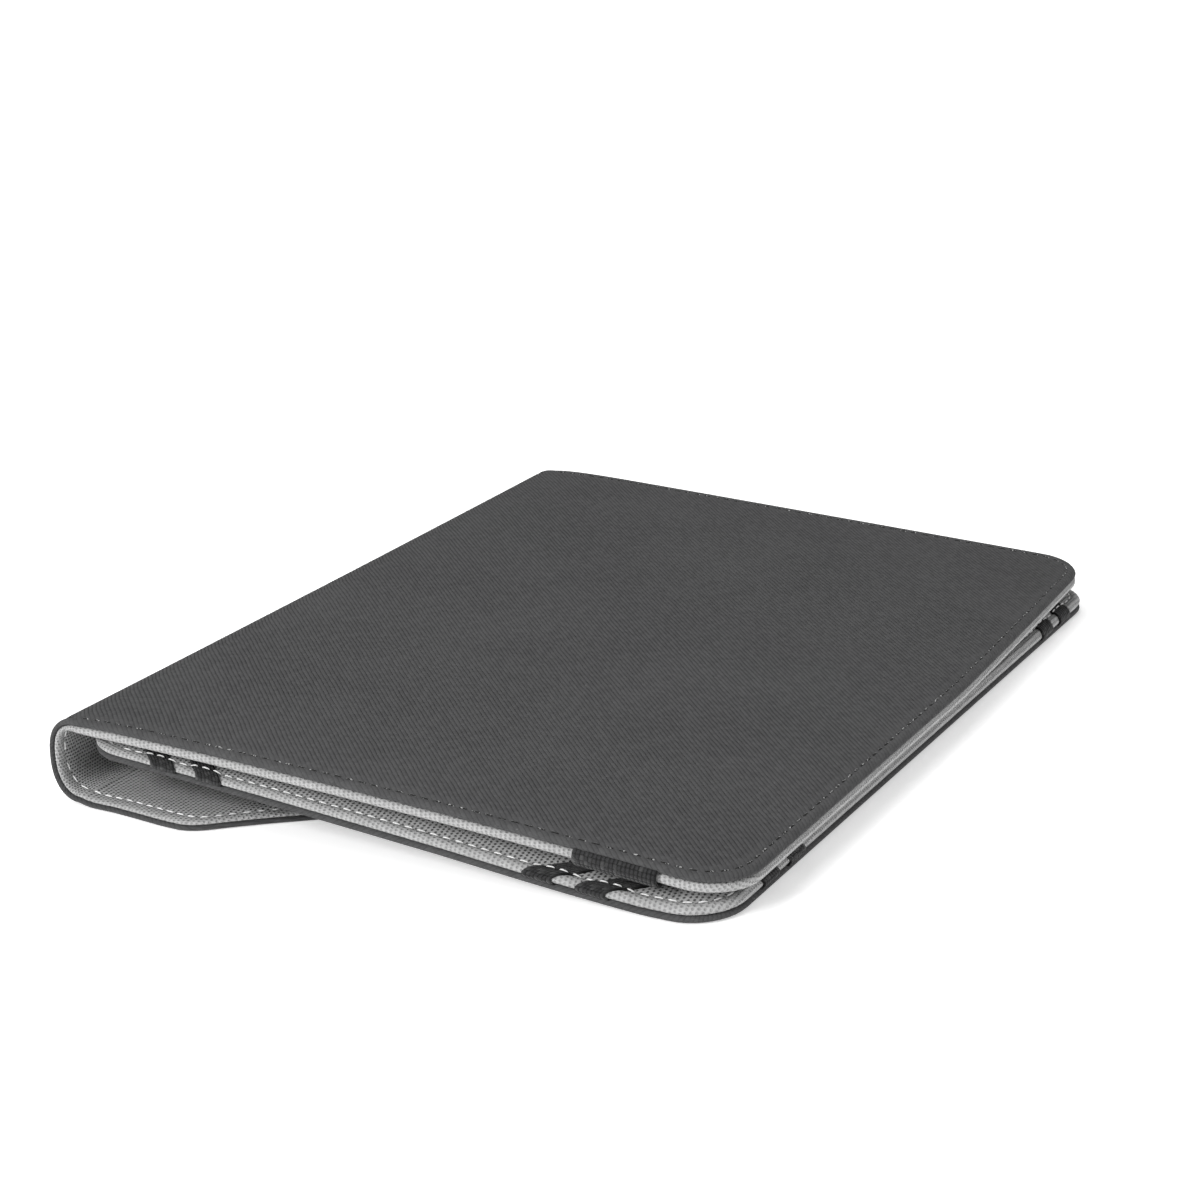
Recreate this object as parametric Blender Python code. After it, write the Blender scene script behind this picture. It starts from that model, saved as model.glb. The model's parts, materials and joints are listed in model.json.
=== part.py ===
"""Folio case for a tablet, closed and lying on its back flap.

X runs from the spine (-X) to the opening edge (+X), Y runs along the spine and Z is up.
The origin is the middle of the underside. Every size is in metres.
"""

import math

import bmesh
import bpy
from mathutils import Vector

# Overall sizes of the outer cover.
CASE_LENGTH = 0.2546  # along the spine
COVER_WIDTH = 0.2000  # from the spine crease to the opening edge
SPINE_HEIGHT = 0.0254  # from the floor to the cover's face at the spine crease
SPINE_BULGE = 0.0098  # how far the spine swells past its creases
SPINE_ROUNDNESS = 2.5  # 2 is an ellipse, more is squarer
COVER_ARCH = 0.0010  # rise of the cover's face over a straight line
COVER_CORNER_RADIUS = 0.015

# Layers of cloth, board and lining.
LAYER_GAP = 0.00015  # between two layers that are sewn or glued together
CREASE_GAP = 0.0003  # between two panels that fold against each other
EDGE_SEAM = 0.0055  # boards stop this far inside the sewn edges
LINING_SETBACK = 0.0009  # linings end this far inside the shells' edges
COVER_SHELL = 0.0020
COVER_SKIN = 0.0007  # shell cloth over the board
COVER_LINING = 0.0019
SPINE_SHELL = 0.0016
SPINE_SKIN = 0.0006
SPINE_LINING = 0.0010
STIFFENER_SPREAD = math.radians(66)  # half of the bend that the spine stiffener covers
FLAP_SHELL = 0.0013
FLAP_SKIN = 0.0005
FLAP_LINING = 0.0010
LINING_TAPER = 0.012  # the cover lining thins to the spine's over this width

# Back flap: full length at the spine, then cut back to a tongue under the holder.
FLAP_OVERHANG = 0.0015  # the flap is longer than the cover by this at both ends
FLAP_TOE_LIFT = 0.0008  # the flap curls up by this where it meets the spine
FLAP_TOE_WIDTH = 0.006
FLAP_FULL_WIDTH = 0.036  # width before the cut starts
FLAP_CUT_ANGLE = math.radians(34)
FLAP_CUT_RADIUS = 0.014
TONGUE_CUT = 0.0385  # how much narrower the tongue is, on each side

# Tablet holder: a padded panel hinged on the tongue.
HOLDER_LENGTH = 0.2540
HOLDER_INTO_SPINE = 0.0015  # the holder reaches this far past the crease into the spine
HOLDER_SETBACK = 0.0045  # the holder ends this far inside the opening edge
HOLDER_LIFT = 0.0006  # of the holder's opening edge above the floor
HOLDER_CORNER_RADIUS = 0.014
HOLDER_SHELL = 0.0017
HOLDER_SKIN = 0.0006
HOLDER_LINING = 0.0010
PAD_AT_SPINE = 0.0030  # padded panel where the closed cover leans on it
PAD_AT_EDGE = 0.0052
HOLDER_CLEARANCE = 0.00035  # below the cover lining, at the spine side
COVER_EDGE_GAP = 0.0006  # between holder and cover lining, at the opening edge
HINGE_TAB_WIDTH = 0.018
HINGE_TAB = 0.0007

# Elastic bands.
CORNER_BAND = 0.0005
CORNER_BAND_STARTS = {"outer": (0.0290, 0.0215), "inner": (0.0445, 0.0360)}  # along X, along Y
CORNER_BAND_FOOTPRINT = 0.0088  # of a slanted band along an edge
CLOSURE_BAND = 0.0006
CLOSURE_BAND_WIDTH = 0.0230
CLOSURE_BAND_FROM_EDGE = 0.0203  # from the opening edge to the band

# Fineness of the curves.
CORNER_STEPS = 6
ARCH_STEPS = 10
SPINE_STEPS = 20

# Places worked out from the sizes above.
CREASE_X = (SPINE_BULGE - COVER_WIDTH) / 2
EDGE_X = CREASE_X + COVER_WIDTH
FLAP_THICKNESS = FLAP_SHELL + LAYER_GAP + FLAP_LINING
HALF_LENGTH = CASE_LENGTH / 2
FLAP_HALF_LENGTH = HALF_LENGTH + FLAP_OVERHANG
HOLDER_HALF_LENGTH = HOLDER_LENGTH / 2
HOLDER_WIDTH = COVER_WIDTH + HOLDER_INTO_SPINE - HOLDER_SETBACK
PAD_BOTTOM = HOLDER_SHELL + LAYER_GAP
BAND_RISE = LAYER_GAP + CORNER_BAND
COVER_THICKNESS = COVER_SHELL + LAYER_GAP + COVER_LINING
COVER_EDGE_HEIGHT = (
    HOLDER_LIFT + PAD_BOTTOM + PAD_AT_EDGE + BAND_RISE + COVER_EDGE_GAP + COVER_THICKNESS
)
SPINE_FOOT = FLAP_TOE_LIFT + CREASE_GAP / 2
SPINE_TOP = SPINE_HEIGHT - CREASE_GAP / 2
SPINE_FOLD_Z = SPINE_FOOT - CREASE_GAP
COVER_FOLD_Z = SPINE_HEIGHT + CREASE_GAP / 2


def cover_face(x):
    """Height of the cover's outer face."""
    t = (x - CREASE_X) / COVER_WIDTH
    straight = SPINE_HEIGHT + (COVER_EDGE_HEIGHT - SPINE_HEIGHT) * t
    return straight + 4 * COVER_ARCH * t * (1 - t)


def cover_shell_inside(x):
    return cover_face(x) - COVER_SHELL


def cover_lining_top(x):
    return cover_shell_inside(x) - LAYER_GAP


def cover_lining_underside(x):
    t = min(1.0, (x - CREASE_X) / LINING_TAPER)
    return cover_lining_top(x) - (SPINE_LINING + (COVER_LINING - SPINE_LINING) * t)


def flap_lift(x):
    """Height of the flap's underside, which curls up towards the spine."""
    t = max(0.0, 1 - (x - CREASE_X) / FLAP_TOE_WIDTH)
    return FLAP_TOE_LIFT * t * t


# The holder leans: its opening edge is near the floor and its spine side is under the cover.
HOLDER_SPINE_X = CREASE_X - HOLDER_INTO_SPINE
HOLDER_EDGE_X = EDGE_X - HOLDER_SETBACK
RAISED_SIDE = (
    cover_lining_underside(CREASE_X + LINING_TAPER)
    - HOLDER_CLEARANCE
    - BAND_RISE
    - PAD_AT_SPINE
    - PAD_BOTTOM
)
HOLDER_TILT = math.atan2(RAISED_SIDE - HOLDER_LIFT, HOLDER_EDGE_X - HOLDER_SPINE_X)
# Its hinge line is where its underside meets the top of the tongue.
HOLDER_HINGE_Z = FLAP_THICKNESS + CREASE_GAP
HINGE_TO_HOLDER = CREASE_GAP
HOLDER_HINGE_X = HOLDER_EDGE_X - (
    HOLDER_HINGE_Z + HINGE_TO_HOLDER / math.cos(HOLDER_TILT) - HOLDER_LIFT
) / math.tan(HOLDER_TILT)
# In the holder's own frame, x is measured along the panel from the hinge line.
HOLDER_EDGE = (HOLDER_EDGE_X - HOLDER_HINGE_X) / math.cos(HOLDER_TILT)
HOLDER_FAR = HOLDER_EDGE - HOLDER_WIDTH


def pad_top(x):
    """Height of the padded panel's face over the hinge axis, in the holder's own frame."""
    t = (x - HOLDER_FAR) / HOLDER_WIDTH
    return HINGE_TO_HOLDER + PAD_BOTTOM + PAD_AT_SPINE + (PAD_AT_EDGE - PAD_AT_SPINE) * t


def make_material(name, color, roughness, metallic=0.0):
    material = bpy.data.materials.new(name)
    material.use_nodes = True
    shader = material.node_tree.nodes["Principled BSDF"]
    shader.inputs["Base Color"].default_value = (*color, 1.0)
    shader.inputs["Roughness"].default_value = roughness
    shader.inputs["Metallic"].default_value = metallic
    return material


def add_object(name, rings, material, parent=None):
    """A closed solid through a row of rings, each with the same number of points."""
    mesh = bpy.data.meshes.new(name)
    bm = bmesh.new()
    loops = [[bm.verts.new(point) for point in ring] for ring in rings]
    for one, two in zip(loops, loops[1:]):
        for i in range(len(one)):
            j = (i + 1) % len(one)
            bm.faces.new((one[i], one[j], two[j], two[i]))
    bm.faces.new(loops[0])
    bm.faces.new(loops[-1])
    bmesh.ops.recalc_face_normals(bm, faces=bm.faces)
    bm.to_mesh(mesh)
    bm.free()
    mesh.materials.append(material)
    built = bpy.data.objects.new(name, mesh)
    bpy.context.scene.collection.objects.link(built)
    built.parent = parent
    return built


def cut_pocket(shell, cutter):
    cutter.hide_render = True
    cutter.display_type = "WIRE"
    pocket = shell.modifiers.new("pocket", "BOOLEAN")
    pocket.operation = "DIFFERENCE"
    pocket.solver = "EXACT"
    pocket.object = cutter


def add_empty(name, place, tilt=0.0):
    empty = bpy.data.objects.new(name, None)
    empty.location = place
    empty.rotation_euler = (0.0, tilt, 0.0)
    bpy.context.scene.collection.objects.link(empty)
    return empty


def hang_on(axis, pieces):
    """Parents pieces that are already in place to the empty on their joint's axis."""
    for piece in pieces:
        piece.parent = axis
        piece.matrix_parent_inverse = axis.matrix_world.inverted()


def straight_stations(start, end, steps):
    return [(start + (end - start) * i / steps, 0.0) for i in range(steps + 1)]


def round_end(x, radius, direction):
    """Stations of two rounded corners that end at x; each gives x and how far the side moves in."""
    turns = [math.radians(90) * i / CORNER_STEPS for i in range(CORNER_STEPS + 1)]
    stations = []
    for turn in turns:
        along = x - direction * radius * (1 - math.sin(turn))
        stations.append((along, radius * (1 - math.cos(turn))))
    return stations


def plate(name, stations, half_length, top, bottom, material, parent=None):
    """A plate along Y whose faces follow top(x) and bottom(x)."""
    rings = []
    for x, inset in stations:
        side = half_length - inset
        high, low = top(x), bottom(x)
        rings.append([(x, -side, high), (x, side, high), (x, side, low), (x, -side, low)])
    return add_object(name, rings, material, parent)


def cover_stations(inset):
    start = CREASE_X + max(inset, CREASE_GAP)
    radius = COVER_CORNER_RADIUS - inset
    end = EDGE_X - inset
    return straight_stations(start, end - radius, ARCH_STEPS) + round_end(end, radius, 1)[1:]


def make_cover(shell_cloth, board_stock, lining_mesh, black_elastic, parent):
    seam = EDGE_SEAM
    cloth = plate(
        "cover_shell", cover_stations(0.0), HALF_LENGTH, cover_face, cover_shell_inside, shell_cloth
    )
    pocket = plate(
        "cover_pocket_cutter",
        cover_stations(seam - LAYER_GAP),
        HALF_LENGTH - seam + LAYER_GAP,
        lambda x: cover_face(x) - COVER_SKIN,
        lambda x: cover_shell_inside(x) - LAYER_GAP,
        board_stock,
    )
    cut_pocket(cloth, pocket)
    board = plate(
        "cover_board",
        cover_stations(seam),
        HALF_LENGTH - seam,
        lambda x: cover_face(x) - COVER_SKIN - LAYER_GAP,
        cover_shell_inside,
        board_stock,
    )
    lining = plate(
        "cover_lining",
        lining_stations(),
        HALF_LENGTH - LINING_SETBACK,
        cover_lining_top,
        cover_lining_underside,
        lining_mesh,
    )
    band = make_closure_band(black_elastic)
    hang_on(parent, (cloth, pocket, board, lining, band))


def lining_stations():
    radius = COVER_CORNER_RADIUS - LINING_SETBACK
    end = EDGE_X - LINING_SETBACK
    taper_end = CREASE_X + LINING_TAPER
    start = [(CREASE_X + CREASE_GAP, 0.0)]
    middle = straight_stations(taper_end, end - radius, ARCH_STEPS)
    return start + middle + round_end(end, radius, 1)[1:]


def make_closure_band(black_elastic):
    """A wide elastic that lies across the cover's lining and turns up round both of its edges."""
    near = EDGE_X - CLOSURE_BAND_FROM_EDGE - CLOSURE_BAND_WIDTH
    far = EDGE_X - CLOSURE_BAND_FROM_EDGE
    inner = HALF_LENGTH - LINING_SETBACK + LAYER_GAP
    outer = inner + CLOSURE_BAND
    rings = []
    for x in (near, far):
        top = cover_lining_top(x)
        inside = cover_lining_underside(x) - LAYER_GAP
        outside = inside - CLOSURE_BAND
        rings.append(
            [
                (x, -outer, top),
                (x, -outer, outside),
                (x, outer, outside),
                (x, outer, top),
                (x, inner, top),
                (x, inner, inside),
                (x, -inner, inside),
                (x, -inner, top),
            ]
        )
    return add_object("closure_band", rings, black_elastic)


def spine_point(turn, depth):
    """A point of the spine's bent section, at a depth below its outer face."""
    middle = (SPINE_TOP + SPINE_FOOT) / 2
    half_height = (SPINE_TOP - SPINE_FOOT) / 2
    across, up = math.cos(turn), math.sin(turn)
    power = 2 / SPINE_ROUNDNESS
    side = abs(across) ** power
    rise = math.copysign(abs(up) ** power, up)
    slope = SPINE_ROUNDNESS - 1
    normal = Vector((-(side**slope) / SPINE_BULGE, math.copysign(abs(rise) ** slope, up) / half_height))
    normal.normalize()
    return (
        CREASE_X - SPINE_BULGE * side - depth * normal[0],
        middle + half_height * rise - depth * normal[1],
    )


def spine_layer(name, turns, half_length, outside, inside, material):
    outline = [spine_point(turn, outside) for turn in turns]
    outline += [spine_point(turn, inside) for turn in reversed(turns)]
    rings = [[(x, y, z) for x, z in outline] for y in (-half_length, half_length)]
    return add_object(name, rings, material)


def spine_turns(spread):
    """Evenly spaced turns round the bend, from the floor up."""
    return [spread * (2 * i / SPINE_STEPS - 1) for i in range(SPINE_STEPS + 1)]


def make_spine(shell_cloth, board_stock, lining_mesh, parent):
    bend = spine_turns(math.radians(90))
    shell = spine_layer("spine_shell", bend, HALF_LENGTH, 0.0, SPINE_SHELL, shell_cloth)
    stiff = spine_turns(STIFFENER_SPREAD)
    margin = LAYER_GAP / SPINE_BULGE
    wider = [stiff[0] - margin] + stiff + [stiff[-1] + margin]
    inner_length = HALF_LENGTH - EDGE_SEAM
    pocket = spine_layer(
        "spine_pocket_cutter",
        wider,
        inner_length + LAYER_GAP,
        SPINE_SKIN,
        SPINE_SHELL + LAYER_GAP,
        board_stock,
    )
    cut_pocket(shell, pocket)
    stiffener = spine_layer(
        "spine_stiffener", stiff, inner_length, SPINE_SKIN + LAYER_GAP, SPINE_SHELL, board_stock
    )
    lining_start = SPINE_SHELL + LAYER_GAP
    lining = spine_layer(
        "spine_lining",
        bend,
        HALF_LENGTH - LINING_SETBACK,
        lining_start,
        lining_start + SPINE_LINING,
        lining_mesh,
    )
    hang_on(parent, (shell, pocket, stiffener, lining))


def flap_stations(inset):
    """Full length near the spine, a rounded corner, a slanted cut, then the straight tongue."""
    start = CREASE_X + max(inset, CREASE_GAP)
    toe_end = CREASE_X + FLAP_TOE_WIDTH
    cut_start = CREASE_X + FLAP_FULL_WIDTH
    stations = [(start, 0.0)]
    if start < toe_end:
        stations += straight_stations((start + toe_end) / 2, toe_end, 2)
    turns = [FLAP_CUT_ANGLE * i / CORNER_STEPS for i in range(CORNER_STEPS + 1)]
    for turn in turns:
        along = cut_start + (FLAP_CUT_RADIUS - inset) * math.sin(turn)
        stations.append((along, (FLAP_CUT_RADIUS - inset) * (1 - math.cos(turn))))
    last_x, last_inset = stations[-1]
    cut_end = last_x + (TONGUE_CUT - last_inset) / math.tan(FLAP_CUT_ANGLE)
    tongue_end = HOLDER_HINGE_X - CREASE_GAP - inset
    return stations + [(cut_end, TONGUE_CUT), (tongue_end, TONGUE_CUT)]


def make_flap(shell_cloth, board_stock, lining_mesh):
    half = FLAP_HALF_LENGTH
    seam = EDGE_SEAM

    def shell_inside(x):
        return flap_lift(x) + FLAP_SHELL

    shell = plate("flap_shell", flap_stations(0.0), half, shell_inside, flap_lift, shell_cloth)
    pocket = plate(
        "flap_pocket_cutter",
        flap_stations(seam - LAYER_GAP),
        half - seam + LAYER_GAP,
        lambda x: shell_inside(x) + LAYER_GAP,
        lambda x: flap_lift(x) + FLAP_SKIN,
        board_stock,
    )
    cut_pocket(shell, pocket)
    plate(
        "flap_board",
        flap_stations(seam),
        half - seam,
        shell_inside,
        lambda x: flap_lift(x) + FLAP_SKIN + LAYER_GAP,
        board_stock,
    )
    plate(
        "flap_lining",
        flap_stations(0.0),
        half - LINING_SETBACK,
        lambda x: flap_lift(x) + FLAP_THICKNESS,
        lambda x: shell_inside(x) + LAYER_GAP,
        lining_mesh,
    )


def holder_stations(inset):
    """The holder's outline, rounded at all four corners, in the holder's own frame."""
    radius = HOLDER_CORNER_RADIUS - inset
    start = round_end(HOLDER_FAR + inset, radius, -1)[::-1]
    end = round_end(HOLDER_EDGE - inset, radius, 1)
    return start + end


def make_holder(shell_cloth, board_stock, lining_mesh, foam, black_elastic, parent):
    half = HOLDER_HALF_LENGTH
    seam = EDGE_SEAM
    under = HINGE_TO_HOLDER

    def layer(name, inset, bottom, top, material):
        return plate(name, holder_stations(inset), half - inset, top, bottom, material, parent)

    shell = layer(
        "holder_shell", 0.0, lambda x: under, lambda x: under + HOLDER_SHELL, shell_cloth
    )
    board_pocket = layer(
        "holder_board_cutter",
        seam - LAYER_GAP,
        lambda x: under + HOLDER_SKIN,
        lambda x: under + PAD_BOTTOM,
        board_stock,
    )
    cut_pocket(shell, board_pocket)
    layer(
        "holder_board",
        seam,
        lambda x: under + HOLDER_SKIN + LAYER_GAP,
        lambda x: under + HOLDER_SHELL,
        board_stock,
    )
    lining = layer(
        "holder_lining", LINING_SETBACK, lambda x: under + PAD_BOTTOM, pad_top, lining_mesh
    )
    foam_pocket = layer(
        "holder_foam_cutter",
        seam - LAYER_GAP,
        lambda x: under + HOLDER_SHELL,
        lambda x: pad_top(x) - HOLDER_LINING,
        foam,
    )
    cut_pocket(lining, foam_pocket)
    layer(
        "holder_foam",
        seam,
        lambda x: under + PAD_BOTTOM,
        lambda x: pad_top(x) - HOLDER_LINING - LAYER_GAP,
        foam,
    )
    make_corner_bands(black_elastic, parent)
    make_hinge_tab(shell_cloth, parent)


def make_corner_bands(black_elastic, parent):
    """Two elastics slant across each corner of the pad and turn down over its edges."""
    wrap = LINING_SETBACK - LAYER_GAP - CORNER_BAND
    for x_side, x_name in ((1, "edge"), (-1, "spine")):
        for y_side, y_name in ((-1, "near"), (1, "far")):
            corner_x = HOLDER_EDGE - wrap if x_side > 0 else HOLDER_FAR + wrap
            corner_y = y_side * (HOLDER_HALF_LENGTH - wrap)
            for place, starts in CORNER_BAND_STARTS.items():
                name = f"corner_band_{x_name}_{y_name}_{place}"
                rings = corner_band_rings((corner_x, corner_y), (x_side, y_side), starts)
                add_object(name, rings, black_elastic, parent)


def corner_band_rings(corner, sides, starts):
    """Sections of one band: foot and turn on the long side, then turn and foot on the short side."""
    foot = HINGE_TO_HOLDER + PAD_BOTTOM

    def place(along_x, along_y, height=None):
        """A point by its distances from the corner, on the pad's face or at the band's foot."""
        x = corner[0] - sides[0] * along_x
        y = corner[1] - sides[1] * along_y
        return (x, y, foot if height is None else pad_top(x) + LAYER_GAP + height)

    start_x, start_y = starts
    end_x, end_y = start_x + CORNER_BAND_FOOTPRINT, start_y + CORNER_BAND_FOOTPRINT
    slant = CORNER_BAND * start_x / start_y
    long_outer = [(start_x, 0.0), (end_x, 0.0)]
    long_inner = [(end_x - slant, CORNER_BAND), (start_x - slant, CORNER_BAND)]
    slant = CORNER_BAND * start_y / start_x
    short_outer = [(0.0, start_y), (0.0, end_y)]
    short_inner = [(CORNER_BAND, end_y - slant), (CORNER_BAND, start_y - slant)]

    def foot_ring(outer, inner):
        return [place(*spot) for spot in outer + inner]

    def turn_ring(outer, inner):
        face = [place(*spot, CORNER_BAND) for spot in outer]
        return face + [place(*spot, 0.0) for spot in inner]

    return [
        foot_ring(long_outer, long_inner),
        turn_ring(long_outer, long_inner),
        turn_ring(short_outer, short_inner),
        foot_ring(short_outer, short_inner),
    ]


def make_hinge_tab(shell_cloth, parent):
    """The end of the tongue, sewn flat on the holder's back beyond the hinge line."""
    top = HINGE_TO_HOLDER - LAYER_GAP
    stations = straight_stations(CREASE_GAP, HINGE_TAB_WIDTH, 1)
    plate(
        "hinge_tab",
        stations,
        HALF_LENGTH - TONGUE_CUT,
        lambda x: top,
        lambda x: top - HINGE_TAB,
        shell_cloth,
        parent,
    )


def main():
    for old in list(bpy.data.objects):
        bpy.data.objects.remove(old)
    shell_cloth = make_material("grey_twill", (0.066, 0.066, 0.070), 0.85)
    lining_mesh = make_material("light_mesh", (0.52, 0.52, 0.52), 0.90)
    black_elastic = make_material("black_elastic", (0.017, 0.017, 0.018), 0.75)
    board_stock = make_material("greyboard", (0.30, 0.28, 0.25), 0.90)
    foam = make_material("foam", (0.60, 0.60, 0.57), 0.95)
    spine_fold = add_empty("spine_fold_axis", (CREASE_X, 0.0, SPINE_FOLD_Z))
    cover_fold = add_empty("cover_fold_axis", (CREASE_X, 0.0, COVER_FOLD_Z))
    holder_hinge = add_empty(
        "holder_hinge_axis", (HOLDER_HINGE_X, 0.0, HOLDER_HINGE_Z), HOLDER_TILT
    )
    bpy.context.view_layer.update()
    make_flap(shell_cloth, board_stock, lining_mesh)
    make_spine(shell_cloth, board_stock, lining_mesh, spine_fold)
    make_cover(shell_cloth, board_stock, lining_mesh, black_elastic, cover_fold)
    make_holder(shell_cloth, board_stock, lining_mesh, foam, black_elastic, holder_hinge)
    bpy.context.view_layer.update()


main()
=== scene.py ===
"""Folio case for a tablet, closed on a white table: cloth, linings, elastics and stitching."""

import math

import bmesh
import bpy
import numpy as np
from mathutils import Matrix, Vector
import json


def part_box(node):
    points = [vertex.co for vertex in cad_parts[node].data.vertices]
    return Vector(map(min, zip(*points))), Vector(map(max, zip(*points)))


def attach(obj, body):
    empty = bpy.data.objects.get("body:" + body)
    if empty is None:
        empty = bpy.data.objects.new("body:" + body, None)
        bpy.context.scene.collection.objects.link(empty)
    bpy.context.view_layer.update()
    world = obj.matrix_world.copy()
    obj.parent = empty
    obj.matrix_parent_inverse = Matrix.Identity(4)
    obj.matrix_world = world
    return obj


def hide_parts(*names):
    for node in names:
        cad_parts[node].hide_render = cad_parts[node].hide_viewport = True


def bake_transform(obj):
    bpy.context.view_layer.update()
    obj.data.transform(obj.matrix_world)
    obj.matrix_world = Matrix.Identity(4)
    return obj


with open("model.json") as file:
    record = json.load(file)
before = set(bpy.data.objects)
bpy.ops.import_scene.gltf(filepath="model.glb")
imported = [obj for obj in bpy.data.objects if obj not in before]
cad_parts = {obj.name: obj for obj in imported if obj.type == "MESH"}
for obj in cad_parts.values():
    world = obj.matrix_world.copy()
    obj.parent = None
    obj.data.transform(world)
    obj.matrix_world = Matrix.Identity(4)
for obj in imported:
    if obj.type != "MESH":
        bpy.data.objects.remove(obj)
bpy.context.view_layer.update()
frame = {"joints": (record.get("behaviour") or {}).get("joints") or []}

# ----------------------------------------------------------
# The view: a long lens from the near right, a little above the case and turned slightly.
# ----------------------------------------------------------
crease = Vector(next(j["pos_m"] for j in frame["joints"] if j["name"] == "spine_fold"))
near_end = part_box("cover_shell")[0][1]
view_right, view_back, view_height = 0.4509, 0.4707, 0.2688
view_from = Vector((crease.x + view_right, near_end - view_back, view_height))
view_turn = math.radians(31.0)
view_down = math.radians(18.97)
view_roll = math.radians(-3.32)
lens_data = bpy.data.cameras.new("view")
lens_data.sensor_width = 36.0
lens_data.lens = 75.5
lens_data.clip_start = 0.01
view = bpy.data.objects.new("view", lens_data)
aim = Matrix.Rotation(view_turn, 4, "Z") @ Matrix.Rotation(math.pi / 2 - view_down, 4, "X")
view.matrix_world = Matrix.Translation(view_from) @ aim @ Matrix.Rotation(view_roll, 4, "Z")
bpy.context.scene.collection.objects.link(view)
bpy.context.scene.camera = view

# ----------------------------------------------------------
# Table and light: a white table that glows more with distance, so that it ends in plain white
# but still takes a short soft shadow by the case. The sky is bright above and dim low down.
# ----------------------------------------------------------


def link(piece):
    bpy.context.scene.collection.objects.link(piece)
    return piece


def plain_material(name, color, roughness):
    material = bpy.data.materials.new(name)
    material.use_nodes = True
    shader = material.node_tree.nodes["Principled BSDF"]
    shader.inputs["Base Color"].default_value = (*color, 1.0)
    shader.inputs["Roughness"].default_value = roughness
    return material


def add_node(tree, kind, **values):
    node = tree.nodes.new(kind)
    for label, value in values.items():
        node.inputs[label.replace("_", " ")].default_value = value
    return node


table_reach = 6.0
table_mesh = bpy.data.meshes.new("table")
table_corners = [(-1, -1), (1, -1), (1, 1), (-1, 1)]
table_mesh.from_pydata([(x * table_reach, y * table_reach, 0) for x, y in table_corners], [], [(0, 1, 2, 3)])
table_white = plain_material("table_white", (0.90, 0.90, 0.90), 0.9)
table_tree = table_white.node_tree
table_shader = table_tree.nodes["Principled BSDF"]
table_shader.inputs["Emission Strength"].default_value = 0.75
table_place = add_node(table_tree, "ShaderNodeTexCoord")
distance = add_node(table_tree, "ShaderNodeVectorMath")
distance.operation = "LENGTH"
glow = add_node(table_tree, "ShaderNodeMapRange", From_Min=0.30, From_Max=0.90, To_Min=0.55, To_Max=1.0)
table_tree.links.new(distance.inputs[0], table_place.outputs["Object"])
table_tree.links.new(glow.inputs["Value"], distance.outputs["Value"])
table_tree.links.new(table_shader.inputs["Emission Color"], glow.outputs["Result"])
table_mesh.materials.append(table_white)
table = link(bpy.data.objects.new("table", table_mesh))

world = bpy.data.worlds.new("white_room")
world.use_nodes = True
sky_tree = world.node_tree
sky = sky_tree.nodes["Background"]
sky.inputs["Strength"].default_value = 0.55
sky_place = add_node(sky_tree, "ShaderNodeTexCoord")
direction = add_node(sky_tree, "ShaderNodeSeparateXYZ")
sky_ramp = add_node(sky_tree, "ShaderNodeValToRGB")
sky_ramp.color_ramp.elements[0].color = (0.12, 0.12, 0.12, 1.0)
sky_ramp.color_ramp.elements[1].color = (1.0, 1.0, 1.0, 1.0)
sky_tree.links.new(direction.inputs[0], sky_place.outputs["Generated"])
sky_tree.links.new(sky_ramp.inputs["Fac"], direction.outputs["Z"])
sky_tree.links.new(sky.inputs["Color"], sky_ramp.outputs["Color"])
bpy.context.scene.world = world
bpy.context.scene.view_settings.view_transform = "Standard"


def soft_light(name, place, target, size, watts):
    data = bpy.data.lights.new(name, "AREA")
    data.shape = "DISK"
    data.size = size
    data.energy = watts
    lamp = link(bpy.data.objects.new(name, data))
    lamp.location = place
    lamp.rotation_euler = (Vector(target) - Vector(place)).to_track_quat("-Z", "Y").to_euler()


soft_light("overhead", (-0.3, 0.2, 1.5), (0.0, 0.0, 0.0), 0.9, 8.5)
soft_light("front_left", (-0.5, -1.4, 0.9), (0.0, -0.1, 0.0), 0.8, 25.0)
soft_light("right", (1.6, -0.3, 0.5), (0.1, 0.0, 0.0), 0.8, 8.0)

# ----------------------------------------------------------
# Flap cloth: the grey twill on the underside of the back flap, over a stiff board, with its
# edges turned in. It runs full length at the spine and is cut back to a tongue further on.
# ----------------------------------------------------------


def grid_piece(name, rows, fabric, edge=None, material=None, upward=True):
    """A mesh through rows of points. fabric gives each point's place on the flat cloth and edge
    its distance from the cloth's edge; both are kept for the material."""
    count = len(rows[0])
    points = [point for row in rows for point in row]
    faces = []
    for r in range(len(rows) - 1):
        for c in range(count - 1):
            a = r * count + c
            faces.append((a, a + 1, a + count + 1, a + count))
    return mesh_piece(name, points, faces, fabric, edge, material, upward)


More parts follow.
